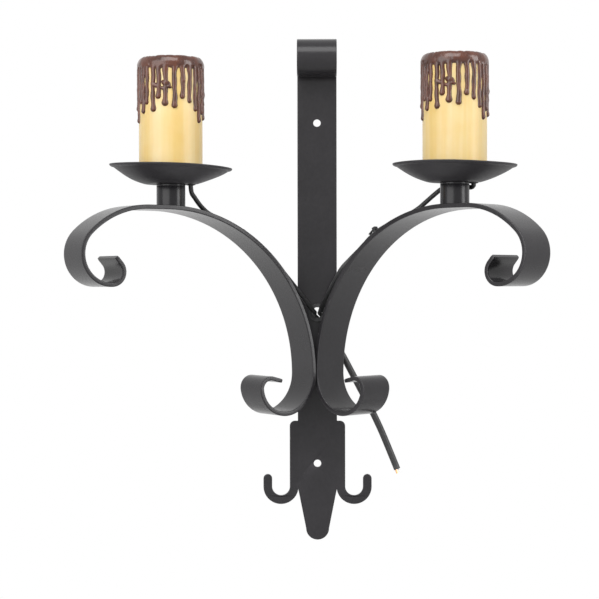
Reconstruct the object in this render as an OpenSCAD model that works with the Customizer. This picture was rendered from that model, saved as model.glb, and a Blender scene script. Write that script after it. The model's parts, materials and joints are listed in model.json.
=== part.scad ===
// Two-arm torch sconce, wrought flat bar, millimetres.
// Origin: on the wall face of the back plate, midway between its two screw holes.
// +X right, +Y into the wall, +Z up.

/* [Back plate] */
// width of the flat bar that the plate is cut from
bar_w = 38; // [34:0.5:42]
// thickness of the plate
plate_t = 4; // [3:0.25:5]
// distance between the two screw holes
screw_pitch = 330; // [310:1:350]
// diameter of the screw holes
screw_hole_d = 7.2; // [5:0.2:9]
// outside diameter of the rolled top end
roll_d = 36; // [30:1:42]
// turn of the rolled top end, in degrees
roll_turn = 310; // [270:5:315]
// height of the roll's axis over the upper screw hole
roll_rise = 61; // [50:1:75]
// height of the wire hole below the middle
wire_hole_drop = 18.5; // [12:0.5:26]
// diameter of the wire hole
wire_hole_d = 14; // [13:0.5:17]

/* [Hook plate] */
// width of the hook plate between its outer edges
hook_plate_w = 53.8; // [50:0.2:58]
// height of the hook plate's top edge below the middle
ear_drop = 123.7; // [118:0.5:130]
// corner radius of the ears
ear_r = 5; // [2:0.5:8]
// height of the hooks' centres below the middle
hook_drop = 187.5; // [182:0.5:193]
// inside radius of the hooks
hook_in_r = 8.6; // [7:0.2:10]
// width of the bar of the hooks
hook_bar = 8.4; // [6:0.2:10]
// height of a hook's free leg over its centre, to the top of its round end
hook_leg = 12; // [8:0.5:20]
// half width of the tongue where it leaves the plate
tongue_top = 19.2; // [17:0.2:21]
// half width of the tongue at its round end
tongue_end = 11.2; // [9:0.2:14]
// length of the tongue below the hooks' centres
tongue_l = 51.7; // [44:0.5:60]

/* [Arms] */
// width of the arms' flat bar
arm_w = 38; // [34:0.5:40]
// thickness of the arms' flat bar
arm_t = 4; // [3:0.25:5]
// forward splay of the left arm out of the wall, in degrees
splay_left = 33; // [30:0.5:36]
// forward splay of the right arm out of the wall, in degrees
splay_right = 42; // [39:0.5:45]
// height of the arms' hub below the middle
hub_drop = 77; // [72:0.5:82]
// centreline radius of the long sweep from the hub to the lamp
sweep_r = 156; // [146:1:164]
// length of the level seat at the top of the sweep
seat_l = 20; // [14:0.5:26]
// centreline radius of the shoulder past the seat
shoulder_r = 81; // [70:1:92]
// turn of the shoulder, in degrees
shoulder_a = 44; // [38:1:50]
// centreline radius of the outer scroll
scroll_r = 27.5; // [25:0.5:30]
// turn of the outer scroll, in degrees
scroll_a = 140; // [132:1:146]
// centreline radius of the outer eye
eye_r = 11.5; // [9.5:0.5:13]
// turn of the outer eye, in degrees
eye_a = 127; // [115:1:135]
// straight tail of the outer eye
eye_tail = 7.6; // [4:0.2:10]
// centreline radius of the heel below the hub
heel_r = 38; // [34:0.5:42]
// turn of the heel, in degrees
heel_a = 60; // [54:1:66]
// centreline radius of the toe
toe_r = 26; // [23:0.5:28]
// turn of the toe, in degrees
toe_a = 114; // [106:1:120]
// centreline radius of the lower eye
lower_eye_r = 9.8; // [8:0.2:12]
// turn of the lower eye, in degrees
lower_eye_a = 111; // [100:1:118]
// straight tail of the lower eye
lower_tail = 10; // [6:0.5:13]
// leg of the hub's weld fillets
weld_leg = 5; // [3:0.5:7]

/* [Lamp stands] */
// distance of the left lamp's axis back from the crown of its arm
lamp_back_left = 12; // [6:0.5:16]
// distance of the right lamp's axis back from the crown of its arm
lamp_back_right = 4; // [0:0.5:10]
// diameter of the stems
stem_d = 26.4; // [22:0.2:30]
// height of the stems over the arms
stem_h = 18; // [14:0.5:24]
// height of the collar between a stem and its pan
collar_h = 2; // [1.5:0.25:5]
// outside diameter of the drip pans
pan_d = 112.5; // [104:0.5:120]
// depth of the drip pans
pan_depth = 16.3; // [11:0.1:18]
// diameter of the pans' flat bottom
pan_flat_d = 48; // [44:1:54]
// thickness of the pans' sheet
pan_sheet = 1.2; // [0.8:0.1:1.6]
// distance of the pans' cord hole from the stem's axis
cord_hole_run = 19; // [18:0.25:20]
// diameter of the threaded nipples
nipple_d = 9.8; // [8:0.2:11]

/* [Candle sleeves] */
// outside diameter of the candle sleeves
sleeve_d = 58; // [55:0.5:60]
// wall of the candle sleeves
sleeve_wall = 3; // [2.5:0.25:3.5]
// height of the candle sleeves
sleeve_h = 110; // [102:0.5:114]
// thickness of the brown drip coat
drip_t = 1.8; // [1:0.1:2.5]
// height of the drip coat's unbroken rim
drip_rim_h = 12; // [8:0.5:18]
// width of the drips
drip_w = 3.8; // [3:0.1:4.4]

/* [Lamp sockets] */
// depth of the socket's rim below the sleeve's top
socket_sink = 12; // [8:0.5:18]
// outside diameter of the socket shells
socket_d = 34; // [33:0.25:36]
// height of the socket shells
socket_h = 62; // [58:0.5:66]
// diameter of the lamp screw
lamp_screw_d = 26.6; // [26:0.1:27.5]
// depth of the socket's well
well_depth = 48; // [42:0.5:50]

/* [Cords] */
// diameter of the two lamp cords
lamp_cord_d = 4.4; // [3.6:0.1:4.8]
// diameter of the supply tail
tail_d = 6.5; // [5.5:0.1:7.5]

/* [Fits] */
// gap between pieces that seat on each other without a fit
seat_gap = 0.3; // [0.2:0.05:0.5]
// clearance of the nipples in their holes, across the diameter
nipple_fit = 0.4; // [0.2:0.05:0.8]
// clearance of the cords in their grommets, across the diameter
cord_fit = 0.6; // [0.4:0.05:1]

/* [Hidden] */
$fn = 96;

LEFT = -1;
RIGHT = 1;
iron = [0.20, 0.19, 0.20];
polished_iron = [0.30, 0.29, 0.31];
rubber_black = [0.08, 0.08, 0.08];
steel = [0.62, 0.62, 0.60];
phenolic = [0.12, 0.10, 0.09];
brass = [0.78, 0.62, 0.30];
resin_cream = [0.93, 0.83, 0.55];
resin_brown = [0.36, 0.22, 0.18];

// plan and heights
half_bar = bar_w / 2;
hub_z = -hub_drop;
screw_z = screw_pitch / 2;
roll_z = screw_z + roll_rise;
arm_face_r = sweep_r + arm_t / 2;
arm_top = hub_z + arm_face_r;
stem_r = stem_d / 2;
stem_top = arm_top + stem_h;
pan_z = stem_top + collar_h;
floor_z = pan_z + pan_sheet;
pan_r = pan_d / 2;
flat_r = pan_flat_d / 2;
sleeve_r = sleeve_d / 2;
sleeve_bore_r = sleeve_r - sleeve_wall;

// the pan is a slice of a ball whose centre stands pan_c over its flat bottom
pan_c = (pan_r * pan_r + pan_depth * pan_depth - flat_r * flat_r) / (2 * pan_depth);
pan_ball = sqrt(pan_c * pan_c + flat_r * flat_r);
pan_inner_ball = pan_ball - pan_sheet;
sleeve_seat = pan_c - sqrt(pan_inner_ball * pan_inner_ball - sleeve_r * sleeve_r);
sleeve_z = pan_z + sleeve_seat + seat_gap;
sleeve_top = sleeve_z + sleeve_h;

// fixings and sockets
nut_h = 4;
nut_d = 18;
nut_gap = 0.1;
strap_t = 1.6;
strap_w = 12;
bracket_l = 26;
bracket_z = floor_z + nut_h;
nipple_in_stem = 10;
nipple_over = 1;
nipple_z = stem_top - nipple_in_stem;
nipple_top = bracket_z + strap_t + nut_h + nipple_over;
nipple_hole_d = nipple_d + nipple_fit;
socket_top = sleeve_top - socket_sink;
socket_z = socket_top - socket_h;
well_z = socket_top - well_depth;
shell_wall = 0.7;
shell_gap = 0.2;
shell_out_d = lamp_screw_d + 2 * shell_wall;
well_d = shell_out_d + 2 * shell_gap;
shell_drop = 3;
contact_d = 9;
contact_t = 1.6;
contact_tip_d = 5;
contact_tip_h = 1.5;
edge_round = 2;

// grommets
cord_r = lamp_cord_d / 2;
cord_bore_d = lamp_cord_d + cord_fit;
grommet_wall = 1.4;
grommet_gap = 0.2;
grommet_waist_d = cord_bore_d + 2 * grommet_wall;
pan_hole_d = grommet_waist_d + grommet_gap;
grommet_flange_d = grommet_waist_d + 2;
grommet_lip = 1.2;
cord_hole_turn = 22;
bushing_waist_d = wire_hole_d - grommet_gap;
bushing_bore_d = 2 * lamp_cord_d + 2 * cord_fit;
bushing_flange_d = wire_hole_d + 3.2;
bushing_lip = 1.5;
pair_half = (lamp_cord_d + cord_fit) / 2;

// welds
weld_below = 4;
weld_above = 16;
weld_bite = 1.2;

function splay(side) = side == LEFT ? splay_left : splay_right;
function lamp_run(side) = arm_face_r - (side == LEFT ? lamp_back_left : lamp_back_right);

// a point of an arm's own frame (run, across from the back edge, height) in the part's frame
function arm_xyz(side, run, across, z) =
    let (a = splay(side))
    [
        side * (half_bar + plate_t * tan(a) + run * cos(a) - across * sin(a)),
        -run * sin(a) - across * cos(a),
        z
    ];

// a point over an arm's long sweep: angle round the sweep, across, height over its top face
function sweep_xyz(side, turn, across, over) =
    let (r = arm_face_r + over)
    arm_xyz(side, arm_face_r - r * cos(turn), across, hub_z + r * sin(turn));

function lamp_xyz(side, z) = arm_xyz(side, lamp_run(side), arm_w / 2, z);

// the cord hole lies on the same side of both pans
cord_hole = cord_hole_run * [cos(cord_hole_turn), sin(cord_hole_turn), 0];

// ---- flat bar bent in a chain of tangent arcs and straights ----

// each bend is [radius, turn, length of the straight that follows it]
upper_scroll = [
    [sweep_r, 90, seat_l], [shoulder_r, shoulder_a, 0],
    [scroll_r, scroll_a, 0], [eye_r, eye_a, eye_tail]
];
lower_scroll = [
    [heel_r, heel_a, 0], [toe_r, toe_a, 0], [lower_eye_r, lower_eye_a, lower_tail]
];

// the bar is drawn a hair thinner at each bend, and each length runs a little into the one before
draw_down = 0.04;
lap = 0.3;

module bar_arc(r, turn, t, into) {
    back = into / r * 180 / PI;
    drawn = arm_t - t;
    rotate(-back)
        rotate_extrude(angle = turn + back)
            translate([r - t / 2, drawn / 2])
                square([t, arm_w - drawn]);
}

module bar_straight(length, t) {
    drawn = arm_t - t;
    translate([-t / 2, -lap, drawn / 2])
        cube([t, length + lap, arm_w - drawn]);
}

// starts at the origin along +Y and bends to the left; each bend carries the rest of the bar
module bent_bar(bends, i = 0) {
    if (i < len(bends)) {
        r = bends[i][0];
        turn = bends[i][1];
        straight = bends[i][2];
        t = arm_t - 2 * i * draw_down;
        translate([-r, 0, 0]) {
            bar_arc(r, turn, t, i > 0 ? lap : 0);
            rotate(turn)
                translate([r, 0, 0]) {
                    if (straight > 0) {
                        bar_straight(straight, t - draw_down);
                    }
                    translate([0, straight, 0])
                        bent_bar(bends, i + 1);
                }
        }
    }
}

// places an arm's own frame: run along +X, back edge at Y = 0, height along Z
module on_arm(side) {
    mirror([side == LEFT ? 1 : 0, 0, 0])
        translate([half_bar + plate_t * tan(splay(side)), 0, 0])
            rotate(-splay(side))
                children();
}

module arm_strip(side) {
    on_arm(side)
        rotate([90, 0, 0])
            translate([arm_t / 2, hub_z, 0]) {
                mirror([1, 0, 0])
                    bent_bar(upper_scroll);
                rotate(180)
                    bent_bar(lower_scroll);
            }
}

module arm_left() {
    color(iron)
        arm_strip(LEFT);
}

// its front corner at the hub is dressed clear of the left arm
module arm_right() {
    color(iron)
        difference() {
            arm_strip(RIGHT);
            on_arm(LEFT)
                translate([-seat_gap, -arm_w - 1, hub_z - sweep_r / 4])
                    cube([3 * arm_t, arm_w - plate_t, sweep_r / 2]);
        }
}

// ---- back plate ----

module hook_outline() {
    centre_x = hook_plate_w / 2 + hook_in_r;
    outer_r = hook_in_r + hook_bar;
    leg_x = centre_x + hook_in_r;
    translate([centre_x, -hook_drop])
        difference() {
            circle(outer_r);
            circle(hook_in_r);
            translate([-outer_r, 0])
                square([2 * outer_r, outer_r]);
        }
    translate([leg_x, -hook_drop])
        square([hook_bar, hook_leg - hook_bar / 2]);
    translate([leg_x + hook_bar / 2, -hook_drop + hook_leg - hook_bar / 2])
        circle(hook_bar / 2);
}

module tongue_outline() {
    tip_z = -hook_drop - tongue_l + tongue_end;
    polygon([
        [-tongue_top, -hook_drop], [-tongue_end, tip_z],
        [tongue_end, tip_z], [tongue_top, -hook_drop]
    ]);
    translate([0, tip_z])
        circle(tongue_end);
}

module hook_plate_outline() {
    half = hook_plate_w / 2;
    translate([-half, -hook_drop])
        square([hook_plate_w, hook_drop - ear_drop - ear_r]);
    translate([-half + ear_r, -ear_drop - ear_r])
        square([hook_plate_w - 2 * ear_r, ear_r]);
    for (s = [-1, 1]) {
        translate([s * (half - ear_r), -ear_drop - ear_r])
            circle(ear_r);
    }
}

module back_plate() {
    color(iron) {
        difference() {
            rotate([90, 0, 0])
                linear_extrude(plate_t)
                    union() {
                        translate([-half_bar, -hook_drop])
                            square([bar_w, hook_drop + roll_z]);
                        hook_plate_outline();
                        hook_outline();
                        mirror([1, 0])
                            hook_outline();
                        tongue_outline();
                    }
            for (z = [-screw_z, screw_z]) {
                translate([0, 1, z])
                    rotate([90, 0, 0])
                        cylinder(h = plate_t + 2, d = screw_hole_d);
            }
            translate([0, 1, -wire_hole_drop])
                rotate([90, 0, 0])
                    cylinder(h = plate_t + 2, d = wire_hole_d);
        }
        translate([0, -roll_d / 2, roll_z])
            rotate([90, 0, 90])
                rotate_extrude(angle = roll_turn)
                    translate([roll_d / 2 - plate_t, -half_bar])
                        square([plate_t, bar_w]);
    }
}

module hub_welds() {
    color(iron)
        for (side = [LEFT, RIGHT]) {
            a = splay(side);
            difference() {
                mirror([side == LEFT ? 1 : 0, 0, 0])
                    translate([0, 0, hub_z - weld_below])
                        linear_extrude(weld_below + weld_above)
                            polygon([
                                [half_bar - weld_leg, -plate_t],
                                [half_bar + weld_bite, -plate_t],
                                [half_bar + weld_bite - weld_leg * sin(a), -plate_t - weld_leg * cos(a)],
                                [half_bar - weld_leg * sin(a), -plate_t - weld_leg * cos(a)]
                            ]);
                on_arm(side)
                    translate([arm_face_r, 1, hub_z])
                        rotate([90, 0, 0])
                            cylinder(h = arm_w + 2, r = arm_face_r, $fn = 360);
            }
        }
}

module hole_bushing() {
    color(rubber_black)
        translate([0, 0, -wire_hole_drop])
            rotate([90, 0, 0])
                difference() {
                    union() {
                        cylinder(h = plate_t + bushing_lip, d = bushing_waist_d);
                        translate([0, 0, plate_t])
                            cylinder(h = bushing_lip, d = bushing_flange_d);
                    }
                    translate([0, 0, -1])
                        cylinder(h = plate_t + bushing_lip + 2, d = bushing_bore_d);
                }
}

// ---- lamp stands ----

module at_lamp(side, z) {
    translate(lamp_xyz(side, z))
        children();
}

module stem(side) {
    foot_z = arm_top - arm_t;
    color(polished_iron)
        difference() {
            at_lamp(side, foot_z)
                cylinder(h = stem_top - foot_z, r = stem_r);
            at_lamp(side, nipple_z)
                cylinder(h = nipple_in_stem + 1, d = nipple_hole_d);
            on_arm(side)
                translate([arm_face_r, 1, hub_z])
                    rotate([90, 0, 0])
                        cylinder(h = arm_w + 2, r = arm_face_r, $fn = 360);
            on_arm(side)
                translate([arm_face_r, -arm_w - 1, foot_z - 1])
                    cube([seat_l, arm_w + 2, arm_t + 1]);
        }
}

module pan_collar(side) {
    color(iron)
        at_lamp(side, stem_top)
            difference() {
                cylinder(h = collar_h, r = stem_r);
                translate([0, 0, -1])
                    cylinder(h = collar_h + 2, d = nipple_hole_d);
            }
}

module drip_pan(side) {
    color(iron)
        at_lamp(side, pan_z)
            difference() {
                rotate_extrude($fn = 180)
                    union() {
                        square([flat_r, pan_sheet]);
                        intersection() {
                            translate([0, pan_c])
                                difference() {
                                    circle(pan_ball, $fn = 360);
                                    circle(pan_inner_ball, $fn = 360);
                                }
                            square([pan_r, pan_depth]);
                        }
                    }
                translate([0, 0, -1])
                    cylinder(h = pan_sheet + 2, d = nipple_hole_d);
                translate(cord_hole + [0, 0, -1])
                    cylinder(h = pan_sheet + 2, d = pan_hole_d);
            }
}

module pan_grommet(side) {
    color(rubber_black)
        at_lamp(side, pan_z)
            translate(cord_hole)
                difference() {
                    union() {
                        translate([0, 0, -grommet_lip])
                            cylinder(h = pan_sheet + 2 * grommet_lip, d = grommet_waist_d);
                        translate([0, 0, -grommet_lip])
                            cylinder(h = grommet_lip, d = grommet_flange_d);
                        translate([0, 0, pan_sheet])
                            cylinder(h = grommet_lip, d = grommet_flange_d);
                    }
                    translate([0, 0, -grommet_lip - 1])
                        cylinder(h = pan_sheet + 2 * grommet_lip + 2, d = cord_bore_d);
                }
}

module nipple(side) {
    color(steel)
        at_lamp(side, nipple_z)
            cylinder(h = nipple_top - nipple_z, d = nipple_d);
}

// one nut clamps the pan, the other the bracket
module locknuts(side) {
    color(steel)
        for (z = [floor_z, bracket_z + strap_t]) {
            at_lamp(side, z)
                difference() {
                    cylinder(h = nut_h, d = nut_d, $fn = 6);
                    translate([0, 0, -1])
                        cylinder(h = nut_h + 2, d = nipple_d + 2 * nut_gap);
                }
        }
}

module socket_bracket(side) {
    height = socket_z - bracket_z;
    color(steel)
        at_lamp(side, bracket_z)
            difference() {
                translate([-strap_w / 2, -bracket_l / 2, 0])
                    cube([strap_w, bracket_l, height]);
                translate([-strap_w / 2 - 1, -bracket_l / 2 + strap_t, strap_t])
                    cube([strap_w + 2, bracket_l - 2 * strap_t, height - 2 * strap_t]);
                translate([0, 0, -1])
                    cylinder(h = strap_t + 2, d = nipple_hole_d);
            }
}

module socket_shell(side) {
    color(phenolic)
        at_lamp(side, socket_z)
            difference() {
                cylinder(h = socket_h, d = socket_d);
                translate([0, 0, socket_h - well_depth])
                    cylinder(h = well_depth + 1, d = well_d);
            }
}

module screw_shell(side) {
    color(brass)
        at_lamp(side, well_z)
            difference() {
                cylinder(h = well_depth - shell_drop, d = shell_out_d);
                translate([0, 0, shell_wall])
                    cylinder(h = well_depth, d = lamp_screw_d);
                translate([0, 0, -1])
                    cylinder(h = well_depth, d = contact_d + 4);
            }
}

module centre_contact(side) {
    color(brass)
        at_lamp(side, well_z) {
            cylinder(h = contact_t, d = contact_d);
            cylinder(h = contact_t + contact_tip_h, d = contact_tip_d);
        }
}

module sleeve_section() {
    translate([sleeve_bore_r, 0])
        square([sleeve_wall, sleeve_h - edge_round]);
    translate([sleeve_bore_r, 0])
        square([sleeve_wall - edge_round, sleeve_h]);
    translate([sleeve_r - edge_round, sleeve_h - edge_round])
        circle(edge_round);
}

module candle_sleeve(side) {
    color(resin_cream)
        at_lamp(side, sleeve_z)
            rotate_extrude($fn = 180)
                sleeve_section();
}

// drips round the sleeve: turn from its room side, length below its top, radius of the bead
drips = [
    [-78, 60, 2.1], [-66, 43, 2.2], [-57, 52, 2.5], [-47, 44, 2.3], [-33, 51, 2.9], [-22, 39.5, 2.6],
    [-9.4, 46, 3.1], [7, 48, 2.7], [22, 39.5, 2.4], [35.6, 43, 2.1], [48.6, 50, 2.2], [59.6, 60, 2.5],
    [72, 52, 2.2], [84, 57, 2.3], [97, 44, 2.5], [109, 54, 2.2], [121, 41, 2.6], [134, 55, 2.4],
    [147, 46, 2.2], [160, 50, 2.7], [172, 42, 2.3], [185, 58, 2.5], [198, 47, 2.2], [210, 40, 2.5],
    [222, 53, 2.3], [234, 45, 2.6], [246, 56, 2.2], [258, 43, 2.4], [270, 49, 2.3]
];
drip_r = drip_w / 2;
drip_sink = 0.2;
coat_round = drip_t + edge_round;

// azimuth of the room side of a sleeve's drips
function drip_face(side) = side == LEFT ? -85 : -94.5;

// the sleeve's outline with its bore filled
module sleeve_plug() {
    square([sleeve_r, sleeve_h - edge_round]);
    square([sleeve_r - edge_round, sleeve_h]);
    translate([sleeve_r - edge_round, sleeve_h - edge_round])
        circle(edge_round);
}

module drip_coat(side) {
    color(resin_brown)
        at_lamp(side, sleeve_z)
            difference() {
                union() {
                    rotate_extrude($fn = 180)
                        union() {
                            translate([sleeve_bore_r, sleeve_h - drip_rim_h])
                                square([sleeve_wall + drip_t, drip_rim_h + drip_t - coat_round]);
                            translate([sleeve_bore_r, sleeve_h])
                                square([sleeve_wall + drip_t - coat_round, drip_t]);
                            translate([sleeve_r - edge_round, sleeve_h - edge_round])
                                circle(coat_round);
                        }
                    for (q = drips) {
                        rotate(drip_face(side) + q[0])
                            translate([sleeve_r + drip_t - drip_r - drip_sink, 0, sleeve_h - q[1] + q[2]]) {
                                cylinder(h = q[1] - q[2] - drip_rim_h / 2, r = drip_r, $fn = 24);
                                sphere(q[2], $fn = 24);
                            }
                    }
                }
                rotate_extrude($fn = 180)
                    sleeve_plug();
            }
}

// ---- cords ----

function unit(v) = v / norm(v);

// tangent at point i of a route
function along(p, i) =
    unit(p[min(i + 1, len(p) - 1)] - p[max(i - 1, 0)]);

// ring of n points round point i, square to the route, with the reference direction up
function ring(p, i, r, n, up) =
    let (t = along(p, i), u = unit(cross(t, up)), v = cross(t, u))
    [for (k = [0 : n - 1]) p[i] + r * (cos(k * 360 / n) * u + sin(k * 360 / n) * v)];

module tube(p, r, n, up) {
    last = len(p) - 1;
    points = [for (i = [0 : last]) each ring(p, i, r, n, up)];
    sides = [
        for (i = [0 : last - 1], k = [0 : n - 1])
            let (a = i * n + k, b = i * n + (k + 1) % n)
            each [[a, b + n, b], [a, a + n, b + n]]
    ];
    ends = [[for (k = [0 : n - 1]) k], [for (k = [n - 1 : -1 : 0]) last * n + k]];
    polyhedron(points = points, faces = concat(sides, ends));
}

// a cord lies on an arm's top face at this height
lie = cord_r + seat_gap;
cord_sides = 8;
tail_sides = 10;

// inside the pan, from the socket's underside to the pan's grommet, from the lamp's axis
well_route = [[13.4, 3, 0], [13.4, 3, -3], [14.8, 4.6, -10], [16.4, 6, -19]];

// the ties lift the cords over their pads
tie_pad = 10;
tie_pad_t = 1.2;
tie_rise = 2;
tie_slope = 1.5;
left_tie = [56, 14];
right_tie = [56, 25];

// over an arm: turn round the sweep, across from the back edge, height over lying on it
left_sweep_route = [
    [80.4, 22.4, 16.1], [79.6, 22, 12.9], [78.6, 21.2, 9.8], [77.3, 20.2, 7], [75.7, 18.8, 4.5],
    [73.7, 17.2, 2.4], [71.3, 15.8, 0.8], [67, 14.6, 0.3], [63.5, 14.2, 0.6],
    [60, 14, tie_slope], [56, 14, tie_rise], [52, 14.4, tie_slope], [47, 17.4, 0.4]
];
right_sweep_route = [
    [91.45, 1.95, 15.1], [91, 1.95, 13.7], [90.1, 2, 13.3], [88, 2, 13.7], [84.5, 2.1, 14.8],
    [81, 2.3, 16.2], [79.2, 2.8, 15.4], [78, 4.2, 13.5], [76.7, 6, 11.2], [74.5, 9.4, 7.2],
    [72.3, 12.8, 3.6], [69.5, 16, 1.4], [66, 19, 0.4], [62.5, 21.6, 0.6],
    [59.5, 23.4, tie_slope], [56, 25, tie_rise], [52.5, 26.4, tie_slope],
    [49, 28, 0.3], [46, 30, 0], [42.5, 32.6, 0], [39, 35, 0.4]
];

// from the arms to the wire hole
left_free_route = [[-38, -32, 27], [-26, -23, 12.4], [-15, -15.4, -2], [-7.6, -11, -12]];
right_free_route = [[17, -37, 12.4], [12.2, -26.4, 3], [7.6, -16, -6.4], [4.6, -11, -12.6]];

// splice behind the plate: middle of its top face, lean from plumb, size
splice_at = [9, 8.5, -31.4];
splice_lean = 28;
splice_l = 24;
splice_d = 10.6;
splice_along = [sin(splice_lean), 0, -cos(splice_lean)];
splice_across = [cos(splice_lean), 0, sin(splice_lean)];
splice_end = splice_at + splice_l * splice_along;
behind_y = 4.2;
behind_drop = 2;
run_in = 5;
hole_run_in = 2;
pan_run_in = [8, -1.6];

function lamp_cord_route(side) =
    let (
        lamp = lamp_xyz(side, 0),
        hole_x = side * pair_half,
        end = splice_at + side * pair_half * splice_across,
        sweep_route = side == LEFT ? left_sweep_route : right_sweep_route
    )
    concat(
        [for (q = well_route) lamp + [q[0], q[1], socket_z + q[2]]],
        [for (z = [floor_z + pan_run_in[0], pan_z + pan_run_in[1]]) lamp + cord_hole + [0, 0, z]],
        [for (q = sweep_route) sweep_xyz(side, q[0], q[1], lie + q[2])],
        side == LEFT ? left_free_route : right_free_route,
        [
            [hole_x, -plate_t - bushing_lip - hole_run_in, -wire_hole_drop],
            [hole_x, -plate_t - bushing_lip, -wire_hole_drop],
            [hole_x, 0, -wire_hole_drop],
            [hole_x, behind_y, -wire_hole_drop - behind_drop + side],
            end - run_in * splice_along,
            end
        ]
    );

module lamp_cord(side) {
    color(rubber_black)
        tube(lamp_cord_route(side), cord_r, cord_sides, unit([side * 0.5, -1, 0.35]));
}

module splice_sleeve() {
    color(rubber_black)
        translate(splice_at)
            rotate([0, 180 - splice_lean, 0])
                cylinder(h = splice_l, d = splice_d);
}

tail_route = concat(
    [splice_end, splice_end + run_in * splice_along],
    [
        [26.4, 8.8, -63.7], [34.6, 9.2, -79.3], [43.6, 9.5, -96.5], [52, 9.6, -112.4],
        [61.4, 9.4, -132.1], [70.6, 9, -154], [77.8, 8.6, -171.8]
    ]
);
tail_last = len(tail_route) - 1;
tail_along = along(tail_route, tail_last);
tail_up = [0, 1, 0];

module supply_tail() {
    color(rubber_black)
        tube(tail_route, tail_d / 2, tail_sides, tail_up);
}

core_d = 2;
core_l = 4;
core_half = 1.4;
core_gap = 0.05;

// a bared conductor that stands out of the tail's cut end
module tail_core(offset) {
    side_way = unit(cross(tail_up, tail_along));
    from = tail_route[tail_last] + offset * core_half * side_way + core_gap * tail_along;
    lean = atan2(tail_along[0], -tail_along[2]);
    translate(from)
        rotate([0, 180 - lean, 0])
            cylinder(h = core_l, d = core_d);
}

module tail_core_copper() {
    color([0.80, 0.42, 0.22])
        tail_core(1);
}

module tail_core_white() {
    color([0.85, 0.87, 0.92])
        tail_core(-1);
}

// ---- cord ties ----

tie_band_t = 1;
tie_band_w = 2.6;
tie_bore_gap = 0.4;
tie_head = [3.4, 5, 3.6];
tie_tail_l = 9;

// pad on the arm, band round the cord, head with its cut tail
module cord_tie(side, at) {
    cord_over = lie + tie_rise;
    band_r = cord_r + tie_bore_gap;
    on_arm(side)
        translate([arm_face_r, -at[1], hub_z])
            rotate([0, at[0] - 90, 0])
                translate([0, 0, arm_face_r]) {
                    translate([-tie_pad / 2, -tie_pad / 2, seat_gap])
                        cube([tie_pad, tie_pad, tie_pad_t]);
                    translate([-tie_band_w / 2, 0, cord_over])
                        rotate([0, 90, 0])
                            difference() {
                                cylinder(h = tie_band_w, r = band_r + tie_band_t);
                                translate([0, 0, -1])
                                    cylinder(h = tie_band_w + 2, r = band_r);
                            }
                    translate([-tie_head[0] / 2, -tie_head[1] / 2, cord_over + band_r + tie_band_t / 2])
                        cube(tie_head);
                    translate([-tie_tail_l, -tie_band_w / 2, cord_over + band_r + tie_head[2] - tie_band_t])
                        cube([tie_tail_l, tie_band_w, tie_band_t]);
                }
}

module cord_ties() {
    color(rubber_black) {
        cord_tie(LEFT, left_tie);
        cord_tie(RIGHT, right_tie);
    }
}

back_plate();
arm_left();
arm_right();
hub_welds();
hole_bushing();
stem(LEFT);  // stem_left
stem(RIGHT);  // stem_right
pan_collar(LEFT);  // pan_collar_left
pan_collar(RIGHT);  // pan_collar_right
drip_pan(LEFT);  // drip_pan_left
drip_pan(RIGHT);  // drip_pan_right
pan_grommet(LEFT);  // pan_grommet_left
pan_grommet(RIGHT);  // pan_grommet_right
nipple(LEFT);  // nipple_left
nipple(RIGHT);  // nipple_right
locknuts(LEFT);  // locknuts_left
locknuts(RIGHT);  // locknuts_right
socket_bracket(LEFT);  // socket_bracket_left
socket_bracket(RIGHT);  // socket_bracket_right
socket_shell(LEFT);  // socket_shell_left
socket_shell(RIGHT);  // socket_shell_right
screw_shell(LEFT);  // screw_shell_left
screw_shell(RIGHT);  // screw_shell_right
centre_contact(LEFT);  // centre_contact_left
centre_contact(RIGHT);  // centre_contact_right
candle_sleeve(LEFT);  // candle_sleeve_left
candle_sleeve(RIGHT);  // candle_sleeve_right
drip_coat(LEFT);  // drip_coat_left
drip_coat(RIGHT);  // drip_coat_right
lamp_cord(LEFT);  // lamp_cord_left
lamp_cord(RIGHT);  // lamp_cord_right
cord_ties();
splice_sleeve();
supply_tail();
tail_core_copper();
tail_core_white();
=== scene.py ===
# Torch sconce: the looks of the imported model, in metres and in its frame.
import json
import math
from functools import partial
import bmesh
import bpy
from mathutils import Matrix, Vector, noise

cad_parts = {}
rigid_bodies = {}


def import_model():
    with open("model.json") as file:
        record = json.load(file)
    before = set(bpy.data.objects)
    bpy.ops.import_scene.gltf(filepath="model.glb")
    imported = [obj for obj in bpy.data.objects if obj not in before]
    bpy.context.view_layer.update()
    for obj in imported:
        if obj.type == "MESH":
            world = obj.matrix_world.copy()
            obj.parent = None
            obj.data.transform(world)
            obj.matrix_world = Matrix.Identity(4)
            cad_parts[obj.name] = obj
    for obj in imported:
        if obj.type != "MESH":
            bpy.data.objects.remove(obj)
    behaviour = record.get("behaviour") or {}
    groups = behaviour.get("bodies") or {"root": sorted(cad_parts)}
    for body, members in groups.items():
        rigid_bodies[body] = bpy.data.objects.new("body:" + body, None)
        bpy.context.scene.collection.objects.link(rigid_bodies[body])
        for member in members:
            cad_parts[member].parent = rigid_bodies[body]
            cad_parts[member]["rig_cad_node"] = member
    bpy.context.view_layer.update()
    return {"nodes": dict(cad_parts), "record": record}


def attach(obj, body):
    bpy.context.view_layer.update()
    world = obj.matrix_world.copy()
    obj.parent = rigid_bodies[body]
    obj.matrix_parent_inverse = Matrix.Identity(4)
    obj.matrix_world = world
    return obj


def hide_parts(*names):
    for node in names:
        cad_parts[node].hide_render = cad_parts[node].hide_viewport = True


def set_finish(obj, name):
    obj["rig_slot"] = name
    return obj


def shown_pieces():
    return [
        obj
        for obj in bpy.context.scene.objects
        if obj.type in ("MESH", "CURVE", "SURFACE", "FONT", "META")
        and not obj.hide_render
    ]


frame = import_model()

MM = 0.001
NOWHERE = Vector((0, 0, 0))
LEFT = -1
RIGHT = 1
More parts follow.
